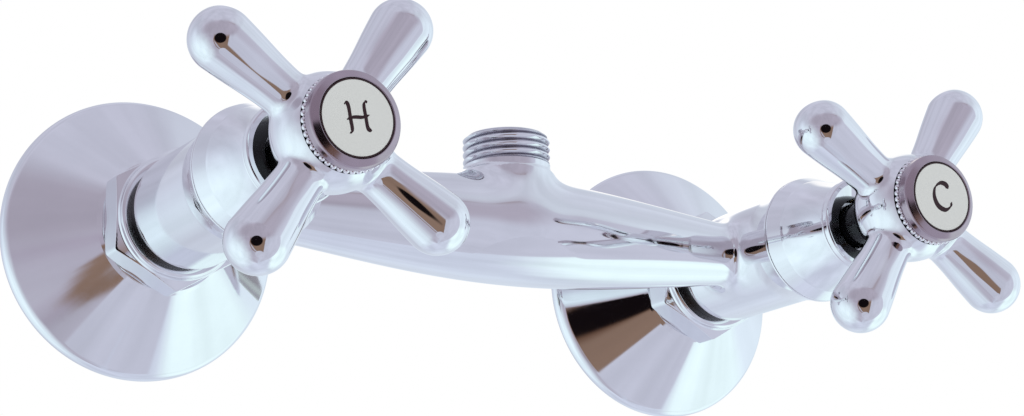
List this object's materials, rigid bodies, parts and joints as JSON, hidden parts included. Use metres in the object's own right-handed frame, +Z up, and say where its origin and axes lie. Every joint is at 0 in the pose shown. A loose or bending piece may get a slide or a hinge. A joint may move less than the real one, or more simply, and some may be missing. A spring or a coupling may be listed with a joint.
{
  "type": "shower mixer tap",
  "caption": "Exposed wall-mounted shower mixer tap with cross handles, conical wall flanges and a threaded top outlet.",
  "frame": {"origin": "on the finished wall, midway between the hot and cold inlets", "axes": "+X from the hot to the cold inlet, +Y into the wall, +Z up"},
  "size_m": [0.218, 0.1314, 0.068],
  "materials": {
    "chrome": "polished chrome plate on brass",
    "ring_chrome": "polished plate with a slightly darker, warmer tone",
    "nickel": "satin nickel plate",
    "brass": "machined brass",
    "steel": "stainless steel",
    "black_rubber": "matte black rubber",
    "washer_rubber": "matte dark rubber",
    "technical_ceramic": "lapped ceramic",
    "index_ceramic": "glazed off-white"
  },
  "bodies": {
    "tap_body": {"mixer_body": "chrome", "hot_wall_flange": "chrome", "hot_eccentric_union": "nickel", "hot_union_nut": "chrome", "hot_union_washer": "washer_rubber", "hot_inlet_tail": "brass", "hot_stop_ring": "black_rubber", "hot_headwork_body": "brass", "hot_headwork_seal": "black_rubber", "hot_seat_seal": "black_rubber", "hot_fixed_disc": "technical_ceramic", "hot_bonnet": "chrome", "cold_wall_flange": "chrome", "cold_eccentric_union": "nickel", "cold_union_nut": "chrome", "cold_union_washer": "washer_rubber", "cold_inlet_tail": "brass", "cold_stop_ring": "black_rubber", "cold_headwork_body": "brass", "cold_headwork_seal": "black_rubber", "cold_seat_seal": "black_rubber", "cold_fixed_disc": "technical_ceramic", "cold_bonnet": "chrome"},
    "hot_control": {"hot_moving_disc": "technical_ceramic", "hot_spindle": "brass", "hot_spindle_seals": "black_rubber", "hot_spindle_clip": "steel", "hot_spindle_sleeve": "black_rubber", "hot_handle": "chrome", "hot_handle_screw": "steel", "hot_index_ring": "ring_chrome", "hot_index_disc": "index_ceramic"},
    "cold_control": {"cold_moving_disc": "technical_ceramic", "cold_spindle": "brass", "cold_spindle_seals": "black_rubber", "cold_spindle_clip": "steel", "cold_spindle_sleeve": "black_rubber", "cold_handle": "chrome", "cold_handle_screw": "steel", "cold_index_ring": "ring_chrome", "cold_index_disc": "index_ceramic"}
  },
  "joints": [
    {"name": "hot_turn", "type": "hinge", "parent": "tap_body", "child": "hot_control", "pos_m": [-0.075, -0.1044, 0], "axis": [0, 1, 0], "range_deg": [0, 90]},
    {"name": "cold_turn", "type": "hinge", "parent": "tap_body", "child": "cold_control", "pos_m": [0.075, -0.1044, 0], "axis": [0, -1, 0], "range_deg": [0, 90]}
  ]
}
